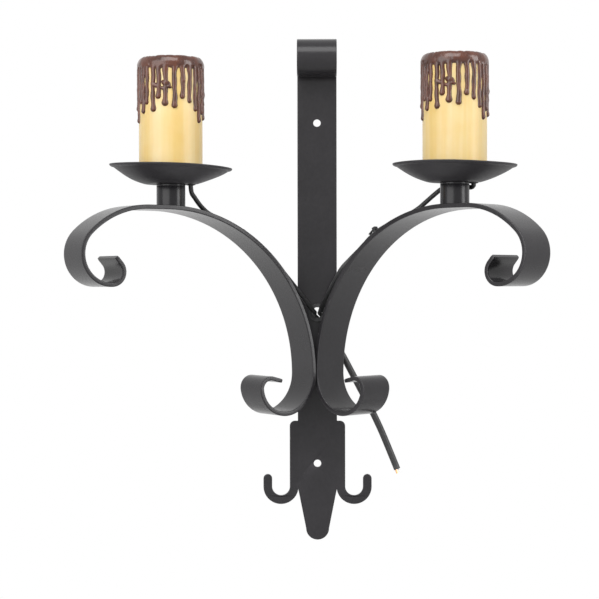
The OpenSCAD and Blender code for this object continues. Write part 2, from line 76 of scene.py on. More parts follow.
NAMES = {LEFT: "left", RIGHT: "right"}

# ---- sizes, in millimetres, as in the construction model ----
BAR_W = 38.0
PLATE_T = 4.0
SCREW_Z = 165.0
ROLL_Z = 226.0
ROLL_R = 16.0
ROLL_TURN = 310.0
ROLL_STEPS = 100
WIRE_Z = -18.5
BAR_EASE = 0.55
END_INSET = 0.35
BEND_STEP = 1.6
ARM_W = 38.0
ARM_T = 4.0
DRAW_DOWN = 0.04
SPLAY = {LEFT: 33.0, RIGHT: 42.0}
HUB_Z = -77.0
ARM_FACE_R = 158.0
ARM_TOP = HUB_Z + ARM_FACE_R
LAMP_RUN = {LEFT: 146.0, RIGHT: 154.0}
STEM_R = 13.2
STEM_SUNK = 3.4
STEM_EASE = 0.2
STEM_TOP = ARM_TOP + 18.0
PAN_Z = STEM_TOP + 2.0
PAN_R = 56.25
PAN_DEPTH = 16.3
PAN_FLAT_R = 24.0
PAN_SHEET = 1.2
PAN_C = (PAN_R ** 2 + PAN_DEPTH ** 2 - PAN_FLAT_R ** 2) / (2 * PAN_DEPTH)
PAN_BALL = math.hypot(PAN_C, PAN_FLAT_R)
PAN_INNER = PAN_BALL - PAN_SHEET
FLOOR_Z = PAN_Z + PAN_SHEET
SLEEVE_R = 29.0
SLEEVE_BORE = 26.0
SLEEVE_H = 110.0
SLEEVE_Z = PAN_Z + PAN_C - math.sqrt(PAN_INNER ** 2 - SLEEVE_R ** 2) + 0.3
SLEEVE_TOP = SLEEVE_Z + SLEEVE_H
DRIP_T = 1.8
COAT_L = 63.5
SOCKET_DOWN = 12.0
SOCKET_L = 62.0
SOCKET_Z = SLEEVE_TOP - SOCKET_DOWN - SOCKET_L
CORD_R = 2.2
TAIL_R = 3.25
# how far a visual surface keeps inside or outside its solid
SKIN = 0.02


def arm_xyz(side, run, across, z):
    """A point in an arm's plane: run from the plate, across from its front edge."""
    a = math.radians(SPLAY[side])
    return Vector((
        side * (BAR_W / 2 + PLATE_T * math.tan(a) + run * math.cos(a) - across * math.sin(a)),
        -run * math.sin(a) - across * math.cos(a),
        z,
    ))


def sweep_xyz(side, turn, across, over):
    """A point over an arm's main sweep, at a turn in degrees up from the hub."""
    r = ARM_FACE_R + over
    t = math.radians(turn)
    return arm_xyz(side, ARM_FACE_R - r * math.cos(t), across, HUB_Z + r * math.sin(t))


def lamp_xyz(side, z):
    return arm_xyz(side, LAMP_RUN[side], ARM_W / 2, z)


# ---- camera ----
scene = bpy.context.scene
cam_data = bpy.data.cameras.new("camera")
cam = bpy.data.objects.new("camera", cam_data)
scene.collection.objects.link(cam)
cam_data.lens = 102.29
cam_data.sensor_width = 36.0
cam_data.clip_end = 20.0
cam.location = Vector((2.957, -1654.0, 12.55)) * MM
aim = Vector((-17.2, -4.0, -5.9)) * MM
turn = (aim - cam.location).to_track_quat("-Z", "Y").to_matrix().to_4x4()
roll = Matrix.Rotation(math.radians(-0.1), 4, "Z")
cam.matrix_world = Matrix.Translation(cam.location) @ turn @ roll
scene.camera = cam


# ---- mesh helpers ----
def smooth_mesh(name, verts, faces, sharp=32.0):
    """A smooth-shaded object from points in millimetres; edges over sharp degrees stay hard."""
    mesh = bpy.data.meshes.new(name)
    mesh.from_pydata([tuple(v * MM) for v in verts], [], faces)
    mesh.validate()
    mesh.polygons.foreach_set("use_smooth", [True] * len(mesh.polygons))
    mesh.set_sharp_from_angle(angle=math.radians(sharp))
    mesh.update()
    obj = bpy.data.objects.new(name, mesh)
    scene.collection.objects.link(obj)
    return obj


def polar(r, angle, z=0.0):
    """A point at a radius and an angle in radians."""
    return Vector((r * math.cos(angle), r * math.sin(angle), z))


def strip_faces(rows, count):
    """Quads between rows of count points each, closed round the row."""
    faces = []
    for i in range(rows - 1):
        for k in range(count):
            a, b = i * count + k, i * count + (k + 1) % count
            faces.append((a, b, b + count, a + count))
    return faces


def end_faces(rows, count):
    """The two flat ends of a strip."""
    last = (rows - 1) * count
    return [tuple(range(count - 1, -1, -1)), tuple(last + k for k in range(count))]


def catmull(points, step):
    """Points every step or so along the smooth curve through the given ones."""
    p = [2 * points[0] - points[1], *points, 2 * points[-1] - points[-2]]
    out = []
    for i in range(1, len(p) - 2):
        a, b, c, d = p[i - 1:i + 3]
        n = max(1, round((c - b).length / step))
        # centripetal knots keep the curve from swinging wide of close points
        k1 = max((b - a).length, 1e-6) ** 0.5
        k2 = max((c - b).length, 1e-6) ** 0.5
        k3 = max((d - c).length, 1e-6) ** 0.5
        m1 = ((b - a) / k1 - (c - a) / (k1 + k2) + (c - b) / k2) * k2
        m2 = ((c - b) / k2 - (d - b) / (k2 + k3) + (d - c) / k3) * k2
        for j in range(n):
            t = j / n
            h = (2 * b - 2 * c + m1 + m2) * t ** 3 + (3 * c - 3 * b - 2 * m1 - m2) * t ** 2
            out.append(h + m1 * t + b)
    out.append(points[-1].copy())
    return out


def tube(name, line, radius, sides=14):
    """A round tube along the points, with flat ends."""
    verts = []
    last = len(line) - 1
    ref = None
    for i, p in enumerate(line):
        t = (line[min(i + 1, last)] - line[max(i - 1, 0)]).normalized()
        if ref is None:
            ref = t.orthogonal().normalized()
        ref = (ref - t * ref.dot(t)).normalized()
        other = t.cross(ref)
        for k in range(sides):
            a = 2 * math.pi * k / sides
            verts.append(p + radius * (math.cos(a) * ref + math.sin(a) * other))
    faces = strip_faces(last + 1, sides) + end_faces(last + 1, sides)
    return smooth_mesh(name, verts, faces, 50.0)


def lathe(name, profile, side, segments=160, shift=None, sharp=32.0, off=NOWHERE):
    """Turns a list of (radius, height) about a lamp's axis; a radius of 0 closes it."""
    axis = lamp_xyz(side, 0.0) + off
    verts, faces, rings = [], [], []
    for r, z in profile:
        if r == 0:
            rings.append([len(verts)])
            verts.append(axis + Vector((0, 0, z)))
            continue
        rings.append(list(range(len(verts), len(verts) + segments)))
        for k in range(segments):
            v = polar(r, 2 * math.pi * k / segments, z)
            verts.append(axis + (shift(v) if shift else v))
    for low, high in zip(rings, rings[1:]):
        for k in range(segments):
            n = (k + 1) % segments
            if len(low) == 1:
                faces.append((low[0], high[k], high[n]))
            elif len(high) == 1:
                faces.append((low[k], high[0], low[n]))
            else:
                faces.append((low[k], high[k], high[n], low[n]))
    return smooth_mesh(name, verts, faces, sharp)


def arc_points(centre, r, start, end, n):
    """Points of an arc as (x, y), angles in degrees."""
    out = []
    for i in range(n + 1):
        a = math.radians(start + (end - start) * i / n)
        out.append((centre[0] + r * math.cos(a), centre[1] + r * math.sin(a)))
    return out


def bent_line(bends, heading, start):
    """The centreline of a bent bar: (point, heading, thickness) in the bar's own plane."""
    p = Vector(start)
    out = [(p.copy(), heading, ARM_T)]
    for i, (r, turned, straight) in enumerate(bends):
        t = ARM_T - 2 * i * DRAW_DOWN
        sign = 1 if turned > 0 else -1
        centre = p + sign * r * Vector((-math.sin(heading), math.cos(heading)))
        whole = math.radians(turned)
        n = max(6, round(abs(whole) * r / BEND_STEP))
        for k in range(1, n + 1):
            h = heading + whole * k / n
            out.append((centre + sign * r * Vector((math.sin(h), -math.cos(h))), h, t))
        heading += whole
        p = out[-1][0].copy()
        if straight:
            n = max(2, round(straight / 2))
            way = Vector((math.cos(heading), math.sin(heading)))
            for k in range(1, n + 1):
                out.append((p + way * straight * k / n, heading, t - DRAW_DOWN))
            p = out[-1][0].copy()
    return out


def section(half_t, low, high):
    """A bar's section with eased corners, as (out, across) pairs.

    The points beside the corners and on the flats keep the lighter edges narrow: rubbed wear and
    painted edge highlight.
    """
    r, n = BAR_EASE, 3
    near = r + 0.9
    mid = (low + high) / 2
    flat = 0.45 * (half_t - r)
    out = arc_points((half_t - r, high - r), r, 0, 90, n)
    out += [(flat, high), (0.0, high), (-flat, high)]
    out += arc_points((-half_t + r, high - r), r, 90, 180, n)
    out += [(-half_t, high - near), (-half_t, mid), (-half_t, low + near)]
    out += arc_points((-half_t + r, low + r), r, 180, 270, n)
    out += [(-flat, low), (0.0, low), (flat, low)]
    out += arc_points((half_t - r, low + r), r, 270, 360, n)
    out += [(half_t, low + near), (half_t, mid), (half_t, high - near)]
    return out


def bar_strip(line, to_space, low, high):
    """Sweeps the eased section along a bent line; to_space takes (run, across, height)."""
    verts = []
    last = len(line) - 1
    for i, (p, h, t) in enumerate(line):
        out_way = Vector((-math.sin(h), math.cos(h)))
        inset = END_INSET if i in (0, last) else 0.0
        drawn = (ARM_T - t) / 2
        ring = section(t / 2 - inset, low + drawn + inset, high - drawn - inset)
        for out, across in ring:
            q = p + out_way * out
            verts.append(to_space(q.x, across, q.y))
    return verts, strip_faces(last + 1, len(ring)) + end_faces(last + 1, len(ring))


def place(obj, body, slot_name, *nodes):
    """Puts a piece on its body, with its slot and the nodes it stands for."""
    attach(obj, body)
    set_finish(obj, slot_name)
    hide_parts(*nodes)


# ---- cords ----
# in the sleeve: x and y from the lamp's axis, height from the lampholder's foot
WELL_ROUTE = [(13.4, 3, 0), (13.4, 3, -3), (14.8, 4.6, -10), (16.4, 6, -19)]
HOLE_OFF = 19.0 * polar(1.0, math.radians(22))
HOLE_PITCH = 2.5
LIE = CORD_R + 0.3
# along the arm: degrees up the sweep, across the arm, extra gap over it
SWEEP_ROUTE = {
    LEFT: [
        (79.3, 22, 12.5), (78.0, 21.2, 9.6), (76.7, 20.2, 7), (75.1, 18.8, 4.5),
        (73.2, 17.2, 2.4), (71, 15.8, 0.8), (67, 14.6, 0.3), (63.5, 14.2, 0.6),
        (60, 14, 1.5), (56, 14, 2), (52, 14.4, 1.5), (47, 17.4, 0.4),
    ],
    RIGHT: [
        (91.45, 1.95, 15.1), (91, 1.95, 13.7), (90.1, 2, 13.3), (88, 2, 13.7),
        (84.5, 2.1, 14.8), (81, 2.3, 16.2), (79.2, 2.8, 15.4), (78, 4.2, 13.5),
        (76.7, 6, 11.2), (74.5, 9.4, 7.2), (72.3, 12.8, 3.6), (69.5, 16, 1.4),
        (66, 19, 0.4), (62.5, 21.6, 0.6), (59.5, 23.4, 1.5), (56, 25, 2),
        (52.5, 26.4, 1.5), (49, 28, 0.3), (46, 30, 0), (42.5, 32.6, 0), (39, 35, 0.4),
    ],
}
# off the arm to the wire hole, in the frame
FREE_ROUTE = {
    LEFT: [(-38, -32, 27), (-26, -23, 12.4), (-15, -15.4, -2), (-7.6, -11, -12)],
    RIGHT: [(17, -37, 12.4), (12.2, -26.4, 3), (7.6, -16, -6.4), (4.6, -11, -12.6)],
}
SPLICE_AT = Vector((9, 8.5, -31.4))
SPLICE_LEAN = math.radians(28)
SPLICE_L = 24.0
SPLICE_ALONG = Vector((math.sin(SPLICE_LEAN), 0, -math.cos(SPLICE_LEAN)))
SPLICE_ACROSS = Vector((math.cos(SPLICE_LEAN), 0, math.sin(SPLICE_LEAN)))
SPLICE_END = SPLICE_AT + SPLICE_L * SPLICE_ALONG
TAIL_ROUTE = [SPLICE_END, SPLICE_END + 5 * SPLICE_ALONG] + [Vector(p) for p in (
    (26.4, 8.8, -63.7), (34.6, 9.2, -79.3), (43.6, 9.5, -96.5), (52, 9.6, -112.4),
    (61.4, 9.4, -132.1), (70.6, 9, -154), (77.8, 8.6, -171.8),
)]


def lamp_cord_route(side):
    """From the lampholder through the pan, along the arm and through the plate."""
    lamp = lamp_xyz(side, 0.0)
    hole_x = side * HOLE_PITCH
    end = SPLICE_AT + side * HOLE_PITCH * SPLICE_ACROSS
    route = [lamp + Vector((x, y, SOCKET_Z + z)) for x, y, z in WELL_ROUTE]
    route += [lamp + HOLE_OFF + Vector((0, 0, z)) for z in (FLOOR_Z + 8, PAN_Z - 1.6)]
    route += [sweep_xyz(side, t, across, LIE + over) for t, across, over in SWEEP_ROUTE[side]]
    route += [Vector(p) for p in FREE_ROUTE[side]]
    route += [
        *(Vector((hole_x, y, WIRE_Z)) for y in (-7.5, -5.5, 0)),
        Vector((hole_x, 4.2, WIRE_Z - 2 + side)), end - 5 * SPLICE_ALONG, end,
    ]
    return route


for side in (LEFT, RIGHT):
    cord = tube(f"cord_{NAMES[side]}", catmull(lamp_cord_route(side), 1.6), CORD_R - SKIN)
    place(cord, "sconce", "black_rubber", f"lamp_cord_{NAMES[side]}")

tail_points = catmull(TAIL_ROUTE, 6.5)
tail = tube("tail", tail_points, TAIL_R - SKIN, 20)
place(tail, "sconce", "black_rubber", "supply_tail")


# ---- cord ties ----
# degrees up the sweep, across the arm
TIE_AT = {LEFT: (56, 14), RIGHT: (56, 25)}
TIE_OVER = LIE + 2.0
BAND_R = CORD_R + 0.4


def block(work, centre, size, tilt=0.0):
    """An eased block in a tie's own space: along the arm, across it, over it."""
    made = bmesh.ops.create_cube(work, size=1.0)["verts"]
    bmesh.ops.scale(work, vec=size, verts=made)
    spin = Matrix.Rotation(tilt, 4, "Y")
    bmesh.ops.transform(work, matrix=Matrix.Translation(centre) @ spin, verts=made)
    corners = list({e for v in made for e in v.link_edges})
    bmesh.ops.bevel(work, geom=corners, offset=0.22, segments=2, affect="EDGES", profile=0.6)


def band(work):
    """The tie's strap round the cord."""
    count = 24
    loops = []
    for x, r in ((-1.2, BAND_R), (1.2, BAND_R), (1.2, BAND_R + 0.9), (-1.2, BAND_R + 0.9)):
        turns = [2 * math.pi * k / count for k in range(count)]
        loops.append([
            work.verts.new((x, r * math.cos(a), TIE_OVER + r * math.sin(a))) for a in turns
        ])
    for one, two in zip(loops, loops[1:] + loops[:1]):
        for k in range(count):
            n = (k + 1) % count
            work.faces.new((one[k], one[n], two[n], two[k]))


def tie_mesh():
    """Both ties: a base, a head with its cut tongue, and the strap."""
    work = bmesh.new()
    done = 0
    for side in (LEFT, RIGHT):
        turned, across = TIE_AT[side]
        block(work, (0, 0, 0.8), (10, 10, 1.0))
        if side == RIGHT:
            block(work, (0.2, 0.4, TIE_OVER + BAND_R + 1.2), (3.6, 4.6, 2.6), 0.12)
            block(work, (-4.6, 0.4, TIE_OVER + BAND_R + 1.0), (7.6, 2.5, 0.9), -0.16)
        else:
            block(work, (0.2, -BAND_R - 1.6, TIE_OVER - 0.6), (3.6, 2.6, 4.4))
            block(work, (-4.0, -BAND_R - 2.0, TIE_OVER - 1.2), (7.0, 0.9, 2.5))
        band(work)
        foot = sweep_xyz(side, turned, across, 0.0)
        over = (sweep_xyz(side, turned, across, 1.0) - foot).normalized()
        wide = (sweep_xyz(side, turned, across + 1.0, 0.0) - foot).normalized()
        along = (sweep_xyz(side, turned + 0.01, across, 0.0) - foot).normalized()
        work.verts.ensure_lookup_table()
        for v in work.verts[done:]:
            v.co = foot + along * v.co.x + wide * v.co.y + over * v.co.z
        done = len(work.verts)
    bmesh.ops.recalc_face_normals(work, faces=work.faces)
    # the bevel's order of points changes from run to run, so they are sorted by place
    order = sorted(work.verts, key=lambda v: tuple(v.co))
    number = {v: i for i, v in enumerate(order)}
    verts = [v.co.copy() for v in order]
    faces = []
    for f in work.faces:
        face = [number[v] for v in f.verts]
        first = face.index(min(face))
        faces.append(tuple(face[first:] + face[:first]))
    work.free()
    return smooth_mesh("ties", verts, sorted(faces), 40.0)


place(tie_mesh(), "sconce", "black_nylon", "cord_ties")


# ---- arms ----
# bends from the hub: radius of the centreline, degrees turned, straight run after it
UPPER = [(156, -90, 20), (81, -44, 0), (27.5, -140, 0), (11.5, -127, 7.6)]
LOWER = [(38, 60, 0), (26, 114, 0), (9.8, 111, 10)]


def arm_line():
    """From the lower eye's tail, up through the hub, to the outer eye's tail."""
    start = (ARM_T / 2, HUB_Z)
    upper = bent_line(UPPER, math.radians(90), start)
    lower = bent_line(LOWER, math.radians(-90), start)
    back = [(p, h + math.pi, t) for p, h, t in reversed(lower[1:])]
    return back + upper


for side in (LEFT, RIGHT):
    verts, faces = bar_strip(arm_line(), partial(arm_xyz, side), 0.0, ARM_W)
    arm = smooth_mesh(f"scroll_arm_{NAMES[side]}", verts, faces, 40.0)
    place(arm, "sconce", "satin_iron", f"arm_{NAMES[side]}")


# ---- back plate with its roll ----
PLATE_EASE = 0.5
PLATE_RING = 0.6
SCREW_R = 3.6
WIRE_R = 7.0
HOOK_AT = (35.5, -187.5)
HOOK_IN = 8.6
HOOK_OUT = 17.0
HOOK_END = -171.3
HOOK_TIP = (48.3, -179.7)
HOOK_TIP_R = 4.2
SHOULDER_AT = (21.9, -128.7)
SHOULDER_R = 5.0
TONGUE_Z = -228.0
TONGUE_R = 11.15


def plate_half():
    """The right half of the plate's outline, from its top down to the tongue's tip."""
    pts = [(BAR_W / 2, ROLL_Z + 0.6), (BAR_W / 2, SHOULDER_AT[1] + SHOULDER_R)]
    pts += arc_points(SHOULDER_AT, SHOULDER_R, 90, 0, 8)
    pts += arc_points(HOOK_AT, HOOK_IN, 180, 360, 24)
    pts += arc_points(HOOK_TIP, HOOK_TIP_R, 180, 0, 14)
    pts += arc_points(HOOK_AT, HOOK_OUT, 0, HOOK_END, 40)
    pts += arc_points((0.0, TONGUE_Z), TONGUE_R, 0, -90, 12)
    return pts


def hole_points(z, r, n):
    """A round hole of n points on the plate's middle line."""
    return arc_points((0.0, z), r, 0, 360 * (n - 1) / n, n - 1)


def flat_plate():
    """The flat of the plate with its holes and eased edges, as points and faces."""
    right = plate_half()
    left = [(-x, z) for x, z in reversed(right[:-1])]
    curve = bpy.data.curves.new("outline", "CURVE")
    curve.dimensions = "2D"
    curve.fill_mode = "BOTH"
    curve.extrude = (PLATE_T / 2 - PLATE_EASE) * MM
    curve.bevel_depth = PLATE_EASE * MM
    curve.bevel_resolution = 2
    curve.offset = -PLATE_EASE * MM
    screws = [hole_points(z, SCREW_R, 48) for z in (SCREW_Z, -SCREW_Z)]
    for loop in [right + left, *screws, hole_points(WIRE_Z, WIRE_R, 60)]:
        one = curve.splines.new("POLY")
        one.points.add(len(loop) - 1)
        for point, (x, z) in zip(one.points, loop):
            point.co = (x * MM, z * MM, 0.0, 1.0)
        one.use_cyclic_u = True
    holder = bpy.data.objects.new("outline", curve)
    scene.collection.objects.link(holder)
    bpy.context.view_layer.update()
    shown = holder.evaluated_get(bpy.context.evaluated_depsgraph_get())
    flat = bpy.data.meshes.new_from_object(shown)
    bpy.data.objects.remove(holder)
    work = bmesh.new()
    work.from_mesh(flat)
    bmesh.ops.remove_doubles(work, verts=work.verts, dist=1e-6)
    # two narrow rings inside the outline keep the lighter edges narrow: rubbed wear and painted
    # edge highlight
    for _ in range(2):
        big = [f for f in work.faces if abs(f.normal.z) > 0.99 and not f.tag]
        ring = bmesh.ops.inset_region(
            work, faces=big, thickness=PLATE_RING * MM, use_even_offset=True, use_boundary=True
        )
        for f in ring["faces"]:
            f.tag = True
    work.to_mesh(flat)
    work.free()
    verts = [
        Vector((v.co.x / MM, -PLATE_T / 2 - v.co.z / MM, v.co.y / MM)) for v in flat.vertices
    ]
    return verts, [tuple(p.vertices) for p in flat.polygons]


def rolled_end():
    """The rolled end, which goes on from the flat bar."""
    upright = math.radians(90)
    r = ROLL_R - SKIN
    line = [(Vector((0.0, ROLL_Z - 1.0)), upright, ARM_T)]
    for i in range(ROLL_STEPS + 1):
        a = math.radians(ROLL_TURN * i / ROLL_STEPS)
        at = Vector((ROLL_R - r * math.cos(a), ROLL_Z + r * math.sin(a)))
        line.append((at, upright - a, ARM_T))
    return bar_strip(
        line, lambda run, across, z: Vector((across, -PLATE_T / 2 - run, z)), -BAR_W / 2, BAR_W / 2
    )


def plate_mesh():
    verts, faces = flat_plate()
    roll_verts, roll_faces = rolled_end()
    n = len(verts)
    faces += [tuple(k + n for k in f) for f in roll_faces]
    return smooth_mesh("wall_plate", verts + roll_verts, faces, 40.0)


place(plate_mesh(), "sconce", "satin_iron", "back_plate")


# ---- stems, collars, pans ----
RIM_BLEND = 3.4
RIM_DROP = 0.5
# the rims sit a little out of level, as on the real one
RIM_TILT = {LEFT: 2.0, RIGHT: 1.0}


def bowl(ball, from_r, to_r, first, n=26):
    """Points on a pan's ball between two radii, from the first step on."""
    a0, a1 = math.asin(from_r / ball), math.asin(to_r / ball)
    out = []
    for i in range(first, n + 1):
        a = a0 + (a1 - a0) * i / n
        out.append((ball * math.sin(a), PAN_Z + PAN_C - ball * math.cos(a)))
    return out


def pan_profile():
    """Closed section of the pan's sheet from the bottom's middle, round the rim, and back."""
    turn_r = PAN_R - RIM_BLEND
    rim = PAN_Z + PAN_DEPTH
    low = PAN_Z + PAN_C - math.sqrt(PAN_BALL ** 2 - turn_r ** 2)
    pts = [(0, PAN_Z), (PAN_FLAT_R - 0.4, PAN_Z)]
    pts += bowl(PAN_BALL, PAN_FLAT_R, turn_r, 1)
    for i in range(1, 9):
        a = math.radians(90 * i / 8)
        up = (rim - RIM_DROP - low) * (1 - math.cos(a))
        pts.append((turn_r + (RIM_BLEND - 0.1) * math.sin(a), low + up))
    # the rounded lip: in from the pan's radius, down from the rim
    pts += [(PAN_R - inward, rim - down) for inward, down in (
        (0.14, 0.22), (0.3, 0.06), (0.6, 0), (0.95, 0.06), (1.2, 0.3), (1.4, 1.0),
    )]
    inside = bowl(PAN_INNER, PAN_R - 3.2, PAN_FLAT_R - 1.0, 0)
    pts += [(r, max(z, FLOOR_Z)) for r, z in inside]
    pts.append((0, FLOOR_Z))
    return pts


def tilted(side):
    """Tips and waves the pan's outer part, and leaves its seat level."""
    slope = math.tan(math.radians(RIM_TILT[side]))

    def shift(v):
        w = min(1.0, max(0.0, (math.hypot(v.x, v.y) - 31.0) / 22.0))
        w = w * w * (3 - 2 * w)
        wave = 0.25 * w * math.sin(3 * math.atan2(v.y, v.x) + side)
        return Vector((v.x, v.y, v.z - slope * v.x * w + wave))
    return shift


def eased_end(z, way):
    """The rounded corner of a stub's end at z: way is 1 at its top, -1 at its bottom."""
    e = STEM_EASE
    corner = [
        (STEM_R, z - way * e), (STEM_R - e * 0.3, z - way * e * 0.3), (STEM_R - e, z),
    ]
    return corner if way > 0 else corner[::-1]


def grommet_profile():
    bore = CORD_R + 0.05
    lip, edge, neck = 4.4, 4.0, 3.7
    under = [(CORD_R + 0.5, PAN_Z - 1.0), (edge, PAN_Z - 0.6), (lip, PAN_Z - 0.2)]
    over = [(lip, FLOOR_Z + 0.3), (edge, FLOOR_Z + 0.8), (CORD_R + 0.5, FLOOR_Z + 1.1)]
    groove = [
        (lip, PAN_Z + SKIN), (neck, PAN_Z + SKIN), (neck, FLOOR_Z - SKIN), (lip, FLOOR_Z - SKIN),
    ]
    start = (bore, PAN_Z - 0.9)
    return [start, *under, *groove, *over, (bore, FLOOR_Z + 1.0), start]


for side in (LEFT, RIGHT):
    name = NAMES[side]
    foot = ARM_TOP - STEM_SUNK
    stem = lathe(f"lamp_stem_{name}", [
        (0, foot), (STEM_R, foot), *eased_end(STEM_TOP, 1), (0, STEM_TOP),
    ], side)
    place(stem, "sconce", "gloss_iron", f"stem_{name}")
    collar = lathe(f"collar_{name}", [
        (0, STEM_TOP), *eased_end(STEM_TOP, -1), *eased_end(PAN_Z, 1), (0, PAN_Z),
    ], side)
    place(collar, "sconce", "satin_iron", f"pan_collar_{name}")
    pan = lathe(f"pan_{name}", pan_profile(), side, 220, shift=tilted(side), sharp=50.0)
    place(pan, "sconce", "satin_iron", f"drip_pan_{name}")
    grommet = lathe(f"grommet_{name}", grommet_profile(), side, 40, sharp=40.0, off=HOLE_OFF)
    place(grommet, "sconce", "black_rubber", f"pan_grommet_{name}")


# ---- candle sleeves and their drips ----
def sleeve_profile():
    """Closed section of the sleeve's wall, from its foot up the outside and back."""
    pts = [(SLEEVE_BORE, SLEEVE_Z + 0.6), (SLEEVE_BORE + 0.6, SLEEVE_Z), (SLEEVE_R - 0.8, SLEEVE_Z)]
    pts += [(SLEEVE_R - 0.2, SLEEVE_Z + 0.25), (SLEEVE_R, SLEEVE_Z + 0.9)]
    n = 24
    for i in range(1, n):
        pts.append((SLEEVE_R, SLEEVE_Z + 0.9 + (SLEEVE_H - 2.9) * i / n))
    for i in range(7):
        a = math.radians(15 * i)
        pts.append((SLEEVE_R - 2 + 2 * math.cos(a), SLEEVE_TOP - 2 + 2 * math.sin(a)))
    pts += [(SLEEVE_BORE, SLEEVE_TOP - 0.3), (SLEEVE_BORE, SLEEVE_Z + 0.6)]
    return pts


# turn from the room side, length below the sleeve's top, bead radius
DRIPS = [
    (-78, 60, 2.1), (-66, 43, 2.2), (-57, 52, 2.5), (-47, 44, 2.3), (-33, 51, 2.9),
    (-22, 39.5, 2.6), (-9.4, 46, 3.1), (7, 48, 2.7), (22, 39.5, 2.4), (35.6, 43, 2.1),
    (48.6, 50, 2.2), (59.6, 60, 2.5),
    (72, 52, 2.2), (84, 57, 2.3), (97, 44, 2.5), (109, 54, 2.2), (121, 41, 2.6), (134, 55, 2.4),
    (147, 46, 2.2), (160, 50, 2.7), (172, 42, 2.3), (185, 58, 2.5), (198, 47, 2.2), (210, 40, 2.5),
    (222, 53, 2.3), (234, 45, 2.6), (246, 56, 2.2), (258, 43, 2.4), (270, 49, 2.3),
]
# lumps on the drips: turn, depth below the top, radius, height
LUMPS = [
    (-33, 25, 2.8, 0.55), (-9.4, 24, 2.6, 0.6), (-5.5, 27, 2.0, 0.35), (-85, 27, 3.0, 0.7),
    (86, 32, 3.0, 0.7), (22, 21, 2.4, 0.4), (48.6, 28, 2.4, 0.5), (-57, 30, 2.4, 0.5),
    (7, 16, 2.6, 0.35), (109, 25, 2.6, 0.5), (160, 22, 2.6, 0.5), (198, 30, 2.6, 0.5),
    (234, 24, 2.6, 0.5), (134, 33, 2.4, 0.45),
]
# runs that have met sideways: turn, depth, half width, half height
BRIDGES = [
    (-28, 25.5, 5.2, 2.1), (-8.5, 24, 4.2, 2.9), (-3.5, 27, 2.8, 1.5), (-14, 28.5, 2.4, 1.6),
    (80, 36, 3.2, 2.6), (120, 17, 2.6, 2.4), (188, 33, 3.0, 2.8), (250, 20, 3.0, 3.0),
]
# where the drips' zero turn points, in degrees in the frame
FACE = {LEFT: -85.0, RIGHT: -94.5}
COAT_ROUND = 4.4
SHOULDER_DEPTH = 5.0
DRIP_REACH = math.radians(14) * SLEEVE_R


def smax(a, b, k):
    """The greater of two, blended where they are within k of each other."""
    h = max(k - abs(a - b), 0.0) / k
    return max(a, b) + h * h * k / 4


def off_by(turned, angle):
    """Arc length along the sleeve from an angle to a turn, negative before it."""
    return math.radians((turned - angle + 180.0) % 360.0 - 180.0) * SLEEVE_R


def coat_height(turned, depth, wobble):
    """How far the coat stands out of the sleeve, negative where there is none."""
    rim = (9.6 + wobble * 1.6 - depth) / 2.8
    field = min(rim, 1.0)
    extra = 0.0
    for angle, length, bead in DRIPS:
        s = off_by(turned, angle)
        if abs(s) > DRIP_REACH:
            continue
        s -= 0.3 * math.sin(depth / 5.0 + angle) + 0.15 * math.sin(depth / 2.1 + 2.3 * angle)
        wide = 2.05 + 0.22 * math.sin(depth / 2.6 + 1.7 * angle)
        wide += 1.5 * math.exp(-max(depth - 6.5, 0.0) / 4.0)
        start = length - 1.6 - bead
        from_bead = s * s + (depth - start) ** 2
        if depth < start:
            grow = min(1.0, max(0.0, (depth - start + 9.0) / 9.0))
            one = 1.0 - (s / (wide + (bead - wide) * grow ** 3)) ** 2
        else:
            one = 1.0 - from_bead / (bead * bead)
        field = smax(field, one, 0.35)
        near = max(0.0, 1.0 - from_bead / (bead * bead * 1.4))
        extra = max(extra, 0.55 * near * (bead / 3.0))
    for angle, at, wide, tall in BRIDGES:
        s = off_by(turned, angle)
        one = 1.0 - (s / wide) ** 2 - ((depth - at - 0.25 * s) / tall) ** 2
        field = smax(field, one, 0.5)
    if field <= 0:
        return 0.9 * max(field, -0.35)
    for angle, at, radius, high in LUMPS:
        s = off_by(turned, angle)
        extra = max(extra, high * math.exp(-(s * s + (depth - at) ** 2) / (radius * radius * 0.5)))
    return (DRIP_T - 0.1) * math.sqrt(min(field, 1.0)) + min(extra, 0.7) + 0.3 * wobble


